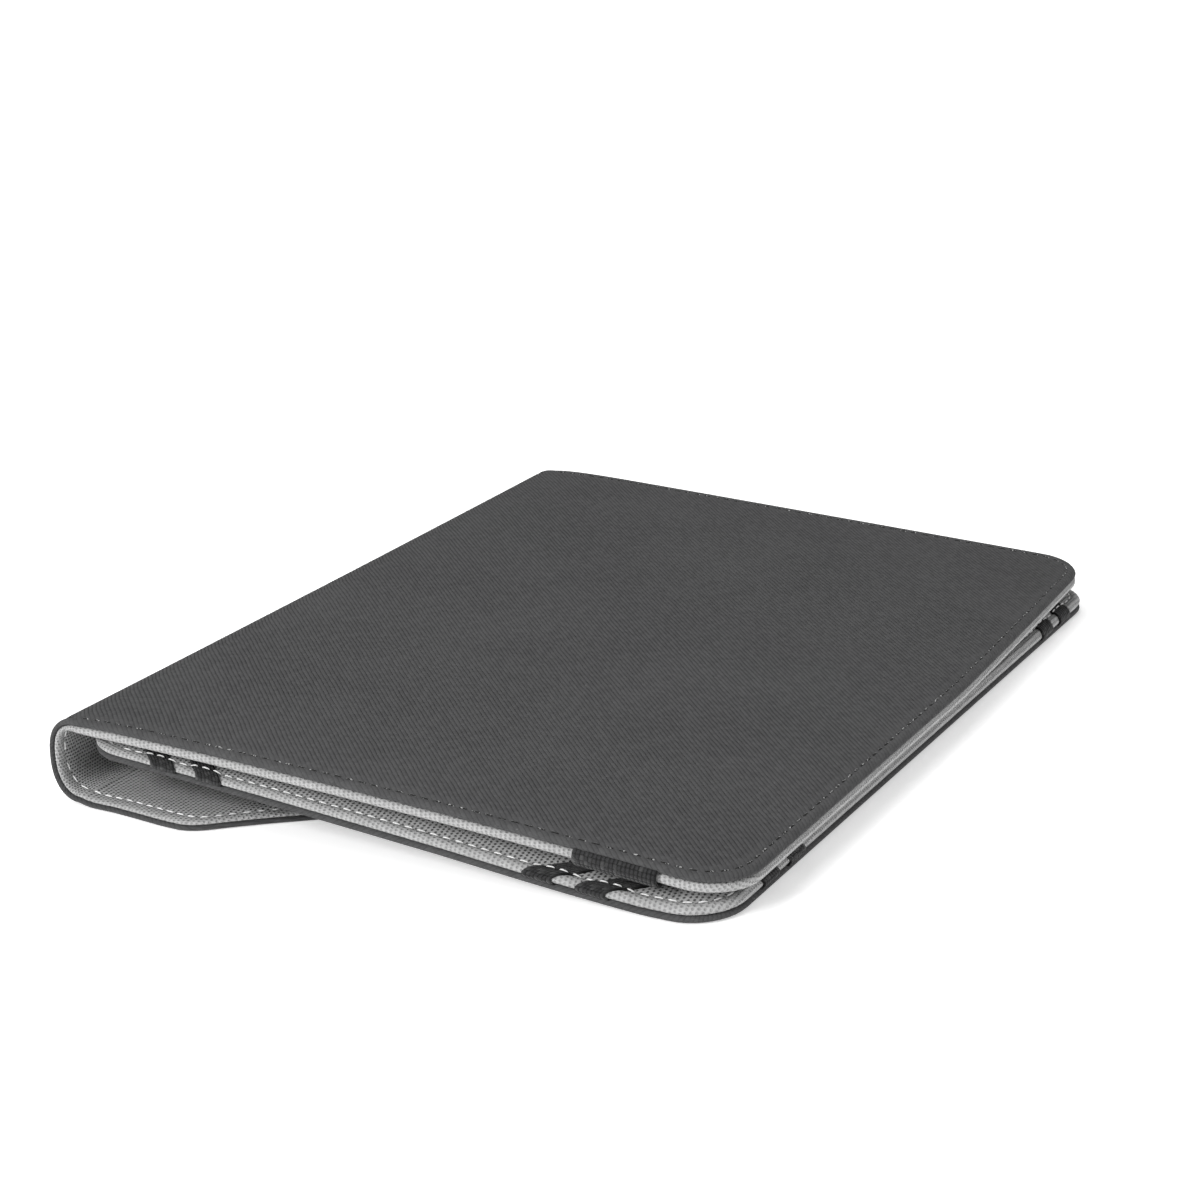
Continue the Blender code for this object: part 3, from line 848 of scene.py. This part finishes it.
def panel(name, shape, profile, thickness, base, place, material, upward, flat_thickness=None):
    """A panel with a turned edge all round and its face filled in with a grid."""
    start, end, half, radius, closed = shape
    inner_inset = radius + 0.001
    profile = [(inner_inset, profile[0][1])] + [step for step in profile if step[0] < inner_inset]
    flat = unrolled(profile, flat_thickness or thickness)
    points, fabric, edge, faces = [], [], [], []
    for (inset, depth), away in zip(profile, flat):
        ring = outline(start, end, half, radius, inset, closed)
        flat_ring = outline(start, end, half, radius, away, closed)
        first = len(points)
        points += [place(x, y, base + depth * thickness) for x, y in ring]
        fabric += [(x - crease.x, y) for x, y in flat_ring]
        edge += [away] * len(ring)
        if first:
            size = len(ring)
            for i in range(first, first + size - 1):
                faces.append((i, i + 1, i + 1 - size, i - size))
    ring = outline(start, end, half, radius, inner_inset, closed)
    columns = [x for x, y in ring[:61]]
    inner_half = half - inner_inset
    levels = [-inner_half + 2 * inner_half * i / 80 for i in range(81)]
    first = len(points)
    for x in columns:
        points += [place(x, y, base + profile[0][1] * thickness) for y in levels]
        fabric += [(x - crease.x, y) for y in levels]
        edge += [well_inside] * len(levels)
    size = len(levels)
    for c in range(len(columns) - 1):
        for r in range(size - 1):
            a = first + c * size + r
            faces.append((a, a + size, a + size + 1, a + 1))
    return mesh_piece(name, points, faces, fabric, edge, material, upward)


def cover_place(x, y, depth):
    """A point of the cover at a depth below its face, with the arch and the drawn-in far end."""
    share = (x - crease.x) / cover_width
    far = (y + cover_half) / (2 * cover_half)
    arch = near_arch + (far_arch - near_arch) * far
    face = spine_top + (cover_edge_height - spine_top) * share + 4 * arch * share * (1 - share)
    face += far_rise * max(0.0, (far - 0.5) / 0.5) ** 1.5
    from_crease = max(x - crease.x, 0.0)
    face -= ridge_drop(y) * math.exp(-from_crease / dip_fade)
    skew = far_skew * max(0.0, (far - far_skew_starts) / (1 - far_skew_starts)) ** 1.15
    thick = 1.0 - crease_thinning * math.exp(-from_crease / thinning_fade)
    return (x - skew * share, y, face - depth * thick)


cover_shape = (crease.x, cover_end, cover_half, cover_radius, False)
cover_turned_edge = turned_edge(cover_stitch_inset)
cover_cloth = panel(
    "cover_cloth", cover_shape, cover_turned_edge, cover_shell_thickness, 0.0, cover_place, twill_cloth, True
)
fit(cover_cloth, "cover", "grey_twill", "cover_shell", "cover_board")


def panel_seam(shape, place, depth, inset):
    start, end, half, radius, closed = shape
    return [place(x, y, depth) for x, y in outline(start, end, half, radius, inset, closed)]


path = panel_seam(cover_shape, cover_place, stitch_sink * cover_shell_thickness, cover_stitch_inset)
sew("cover_stitches", "cover", "grey_twill", path, 1)

# ----------------------------------------------------------
# Cover lining: spacer mesh over the inside of the cover, set back a little from the twill's
# turned edge, with its own soft edge and a white stitched channel.
# ----------------------------------------------------------
cover_lining_edge = lining_edge(cover_stitch_inset, -0.0001, cover_hem)
cover_lining_base = cover_shell_thickness + 0.0001
cover_lining = panel(
    "cover_mesh_lining",
    cover_shape,
    cover_lining_edge,
    cover_lining_thickness,
    cover_lining_base,
    cover_place,
    mesh_lining,
    False,
)
fit(cover_lining, "cover", "light_mesh", "cover_lining")
lining_depth = cover_lining_base + lining_sink * cover_lining_thickness
path = panel_seam(cover_shape, cover_place, lining_depth, cover_stitch_inset)
sew("cover_lining_stitches", "cover", "light_mesh", path, -1)

# ----------------------------------------------------------
# Closure band: a wide black elastic that lies across the lining near the opening edge and turns
# up round both of its long edges, where it is sewn between lining and twill.
# ----------------------------------------------------------


def elastic_group():
    """Woven elastic: cords along the band, crossed by fine wefts that dip between them."""
    sizes = {"Cord Pitch": 0.00115, "Weft Pitch": 0.00105}
    group, source, result = shader_group("Elastic weave", sizes, ("Height", "Tone"))
    u, v = split_xy(group, source.outputs["Vector"])
    cord = maths(group, "DIVIDE", v, source.outputs["Cord Pitch"])
    weft = maths(group, "DIVIDE", u, source.outputs["Weft Pitch"])
    weft_top = maths(group, "MULTIPLY_ADD", swell(group, weft, 0.5), 0.75, 0.25)
    height = times(group, swell(group, cord, 0.5), weft_top)
    wire(group, result.inputs["Height"], height)
    wire(group, result.inputs["Tone"], random_tone(group, cord, weft))
    return group


elastic = elastic_group()


def elastic_material(name):
    cord_color = (0.022, 0.022, 0.023, 1.0)
    dip_color = (0.003, 0.003, 0.003, 1.0)
    bright_color = (0.085, 0.085, 0.085, 1.0)
    material, tree, shader = cloth_material(name, 0.62, 0.1)
    place = fabric_place(tree)
    weave = add_group(tree, elastic, Vector=place)
    dust = add_group(tree, lint, Vector=place)
    color = mix_color(tree, smooth_step(tree, weave.outputs["Height"], 0.35, 0.85), dip_color, cord_color)
    bright = times(tree, smooth_step(tree, weave.outputs["Tone"], 0.6, 1.0), 0.45)
    color = mix_color(tree, bright, color, bright_color)
    color = mix_color(tree, times(tree, dust.outputs["Speck"], 0.4), color, bright_color)
    wire(tree, shader.inputs["Base Color"], color)
    wire(tree, shader.inputs["Normal"], add_bump(tree, weave.outputs["Height"], 0.0003))
    return material


black_elastic = elastic_material("black_elastic_webbing")


def ribbon(name, lines, material, thickness):
    """A strap through rows of points across its width, given its thickness by Solidify."""
    rows = [list(line) for line in lines]
    fabric, along = [], 0.0
    for i, row in enumerate(rows):
        if i:
            along += (Vector(row[len(row) // 2]) - Vector(rows[i - 1][len(row) // 2])).length
        across = 0.0
        for c, point in enumerate(row):
            if c:
                across += (Vector(point) - Vector(row[c - 1])).length
            fabric.append((along, across))
    piece = grid_piece(name, rows, fabric, None, material, upward=True)
    body = piece.modifiers.new("thickness", "SOLIDIFY")
    body.thickness = thickness
    body.offset = 0.0
    return piece, along


def side_profile(edge_profile, thickness, base, lift):
    """The lining's section from its foot to its face, moved outwards by lift."""
    points = [(inset, base + depth * thickness) for inset, depth in reversed(edge_profile)]
    moved = []
    for i, (inset, depth) in enumerate(points):
        before, after = points[max(i - 1, 0)], points[min(i + 1, len(points) - 1)]
        along = Vector((after[0] - before[0], after[1] - before[1])).normalized()
        moved.append((inset - along.y * lift, depth + along.x * lift))
    return moved


band_low, band_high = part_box("closure_band")
band_thickness = 0.0006
band_slack = 0.0011
band_section = side_profile(cover_lining_edge, cover_lining_thickness, cover_lining_base, band_slack)
band_across = [band_low[0] + (band_high[0] - band_low[0]) * i / 12 for i in range(13)]
lines = []
for inset, depth in band_section:
    lines.append([cover_place(x, -cover_half + inset, depth) for x in band_across])
inner = cover_half - band_section[-1][0]
for i in range(1, 60):
    y = -inner + 2 * inner * i / 60
    lines.append([cover_place(x, y, band_section[-1][1]) for x in band_across])
for inset, depth in reversed(band_section):
    lines.append([cover_place(x, cover_half - inset, depth) for x in band_across])
closure_band, band_length = ribbon("closure_elastic", lines, black_elastic, band_thickness)
fit(closure_band, "cover", "black_elastic", "closure_band")

# ----------------------------------------------------------
# Holder back: the tablet holder is a padded panel hinged on the flap's tongue. Its back is the
# same twill over a board, with turned edges and four rounded corners.
# ----------------------------------------------------------
hinge = Vector(next(j["pos_m"] for j in frame["joints"] if j["name"] == "holder_tilt"))
holder_low, holder_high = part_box("holder_shell")
holder_half = holder_high[1]
holder_radius = 0.014
holder_shell_thickness = 0.0021
holder_board_seat = 0.0017  # the height that the untilted back has in the frame
holder_rise = holder_high[2] - holder_low[2] - holder_board_seat
holder_tilt = math.atan2(holder_rise, holder_high[0] - holder_low[0])
under_gap = 0.0003  # from the hinge axis to the underside of the panel
holder_end = (holder_high[0] - hinge.x) / math.cos(holder_tilt)
holder_start = (holder_low[0] - hinge.x) / math.cos(holder_tilt)
pad_at_spine = 0.0027
pad_at_edge = 0.0048
droop_at = [-0.060, -0.030, -0.008, 0.022, 0.046, 0.057, 0.068, 0.079, 0.090, 0.1005]
droop_size = [0.0, 0.0002, 0.0005, 0.0010, 0.0017, 0.0019, 0.0020, 0.0020, 0.0013, 0.0005]
holder_skew = 0.0012
skew_starts = 0.010
droop_ends = [0.086, 0.1005]
margin_starts, margin_width = 0.090, 0.030


def holder_droop(x, y):
    """The panel's near and far margins hang down beside the flap's tongue, and its end rests."""
    end = float(np.interp(x, droop_ends, [0.0, droop_size[-1]]))
    margin = min(1.0, max(0.0, (abs(y) - margin_starts) / margin_width))
    margin = margin * margin * (3 - 2 * margin)
    return end + (float(np.interp(x, droop_at, droop_size)) - end) * margin


def holder_point(x, y, z):
    """From the holder's own flat frame, measured from its hinge line, to its tilted place."""
    place = hinge.x + x * math.cos(holder_tilt) + z * math.sin(holder_tilt)
    height = hinge.z - x * math.sin(holder_tilt) + z * math.cos(holder_tilt)
    far = (y + holder_half) / (2 * holder_half)
    pulled = holder_skew * far * max(0.0, (x - skew_starts) / (holder_end - skew_starts))
    return (place + pulled, y, height - holder_droop(place, y))


def holder_under(x, y, depth):
    return holder_point(x, y, under_gap + depth)


holder_shape = (holder_start, holder_end, holder_half, holder_radius, True)
holder_stitch_inset = 0.0030
holder_turned_edge = turned_edge(holder_stitch_inset)
holder_cloth = panel(
    "holder_cloth",
    holder_shape,
    holder_turned_edge,
    holder_shell_thickness,
    0.0,
    holder_under,
    twill_cloth,
    False,
)
fit(holder_cloth, "holder", "grey_twill", "holder_shell", "holder_board")
path = panel_seam(holder_shape, holder_under, stitch_sink * holder_shell_thickness, holder_stitch_inset)
sew("holder_back_stitches", "holder", "grey_twill", path, -1)

# ----------------------------------------------------------
# Holder pad: foam under spacer mesh, crowned and soft at the edge, pressed thinner where the
# closed cover leans on it, and dented under each corner band.
# ----------------------------------------------------------
pad_sink = 0.50
pad_edge = [
    (0.0150, 1.0), (0.0120, 0.98), (0.0095, 0.92), (0.0075, 0.83), (0.0058, 0.72), (0.0046, 0.63),
    (0.0039, 0.57), (0.0034, 0.52), (0.0031, pad_sink), (0.0028, pad_sink), (0.0025, 0.53), (0.0020, 0.57),
    (0.0014, 0.57), (0.0008, 0.53), (0.0003, 0.44), (-0.0001, 0.32), (-0.0001, 0.20), (0.0002, 0.08),
    (0.0010, 0.0), (0.0024, 0.0),
]
band_starts = {
    ("edge", "outer"): (0.0308, 0.0215),
    ("edge", "inner"): (0.0460, 0.0360),
    ("spine", "outer"): (0.0260, 0.0215),
    ("spine", "inner"): (0.0412, 0.0360),
}
band_footprint = 0.0082
dent = 0.0005
dent_border = 0.03  # as a share of the band's distance from the corner
dent_slope = 0.05


def pad_thickness(x):
    share = (x - holder_start) / (holder_end - holder_start)
    return pad_at_spine + (pad_at_edge - pad_at_spine) * share


def under_band(x, y):
    """How much a point of the pad lies under a corner band, from 0 to 1."""
    along_x = min(x - holder_start, holder_end - x)
    along_y = holder_half - abs(y)
    most = 0.0
    end_name = "edge" if holder_end - x < x - holder_start else "spine"
    for (band_end, _), (start_x, start_y) in band_starts.items():
        if band_end != end_name:
            continue
        low = along_x / start_x + along_y / start_y
        high = along_x / (start_x + band_footprint) + along_y / (start_y + band_footprint)
        inside = min(low - (1 - dent_border), (1 + dent_border) - high)
        most = max(most, min(1.0, inside / dent_slope))
    return most


def pad_place(x, y, share):
    """A point of the pad at a share of its thickness."""
    height = share * pad_thickness(x)
    pressed = dent * under_band(x, y) * share
    return holder_point(x, y, under_gap + holder_shell_thickness + height - pressed)


pad_middle = (pad_at_spine + pad_at_edge) / 2
holder_pad = panel("holder_pad", holder_shape, pad_edge, 1.0, 0.0, pad_place, mesh_lining, True, pad_middle)
fit(holder_pad, "holder", "light_mesh", "holder_lining", "holder_foam")


stitch_climb = 0.0009


def over_band(x, y, share):
    """The pad's stitches run on over the corner bands."""
    place = Vector(pad_place(x, y, share))
    return tuple(place + Vector((0, 0, stitch_climb * under_band(x, y))))


path = panel_seam(holder_shape, over_band, pad_sink, holder_stitch_inset)
sew("holder_stitches", "holder", "light_mesh", path, 1)

# ----------------------------------------------------------
# Corner bands: eight black elastics, two slanting across each corner of the pad. They grip the
# tablet's corners and turn down over the pad's edge into the seam.
# ----------------------------------------------------------
corner_band_thickness = 0.0006
corner_band_lift = 0.00035  # from the pad to the middle of the band
corner_band_rise = 0.10  # how high the slanting part stands, as a share of the pad's thickness
corner_pad = 0.0044
rim_reach = 0.0045


def corner_band_lines(x_side, y_side, starts):
    """Rows across a band: up round the pad's edge, across the corner and down the other edge."""
    section = side_profile(pad_edge, corner_pad, 0.0, corner_band_lift)
    section = [(inset, height / corner_pad) for inset, height in section if inset < rim_reach]
    shares = [i / 8 for i in range(9)]
    corner_x = holder_end if x_side > 0 else holder_start

    def spot(along_x, along_y, height):
        return pad_place(corner_x - x_side * along_x, y_side * (holder_half - along_y), height)

    start_x, start_y = starts
    slope = start_x / start_y
    lines = []
    for inset, height in section:
        lines.append([spot(start_x + band_footprint * s - inset * slope, inset, height) for s in shares])
    face = section[-1][1]
    rim = section[-1][0]
    for i in range(1, 24):
        t = i / 24
        line = []
        for s in shares:
            one = Vector((start_x + band_footprint * s - rim * slope, rim))
            two = Vector((rim, start_y + band_footprint * s - rim / slope))
            rise = face + corner_band_rise * min(1.0, 6 * t, 6 * (1 - t))
            line.append(spot(*one.lerp(two, t), rise))
        lines.append(line)
    for inset, height in reversed(section):
        lines.append([spot(inset, start_y + band_footprint * s - inset / slope, height) for s in shares])
    return lines


for x_side, x_name in ((1, "edge"), (-1, "spine")):
    for y_side, y_name in ((-1, "near"), (1, "far")):
        for place_name in ("outer", "inner"):
            node = f"corner_band_{x_name}_{y_name}_{place_name}"
            lines = corner_band_lines(x_side, y_side, band_starts[x_name, place_name])
            band, length = ribbon(f"{node}_elastic", lines, black_elastic, corner_band_thickness)
            fit(band, "holder", "black_elastic", node)

# ----------------------------------------------------------
# Hinge tab: the end of the flap's tongue, sewn flat on the holder's back with two rows of grey
# stitches. The holder folds up along the line where it begins.
# ----------------------------------------------------------
tab_low, tab_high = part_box("hinge_tab")
tab_width = (tab_high[0] - tab_low[0]) / math.cos(holder_tilt)
tab_thickness = 0.0007
tab_gap = 0.0001
tab_edge = [(0.0030, 0.0), (0.0016, 0.02), (0.0008, 0.10), (0.0003, 0.3), (0.0001, 0.6), (0.0003, 0.9)]
tab_edge.append((0.0010, 1.0))
tab_stitch_inset = 0.004


def tab_place(x, y, depth):
    return holder_point(x, y, under_gap - tab_gap - tab_thickness + depth)


tab_shape = (0.0003, tab_width, tongue_half, 0.002, False)
hinge_tab = panel("hinge_tab_cloth", tab_shape, tab_edge, tab_thickness, 0.0, tab_place, twill_cloth, False)
fit(hinge_tab, "holder", "grey_twill", "hinge_tab")
seam_half = tongue_half - tab_stitch_inset
for row, x in (("first", tab_stitch_inset), ("second", 0.013)):
    path = [tab_place(x, -seam_half + 2 * seam_half * i / 40, 0.0) for i in range(41)]
    sew(f"hinge_tab_stitches_{row}", "holder", "grey_twill", path, -1)
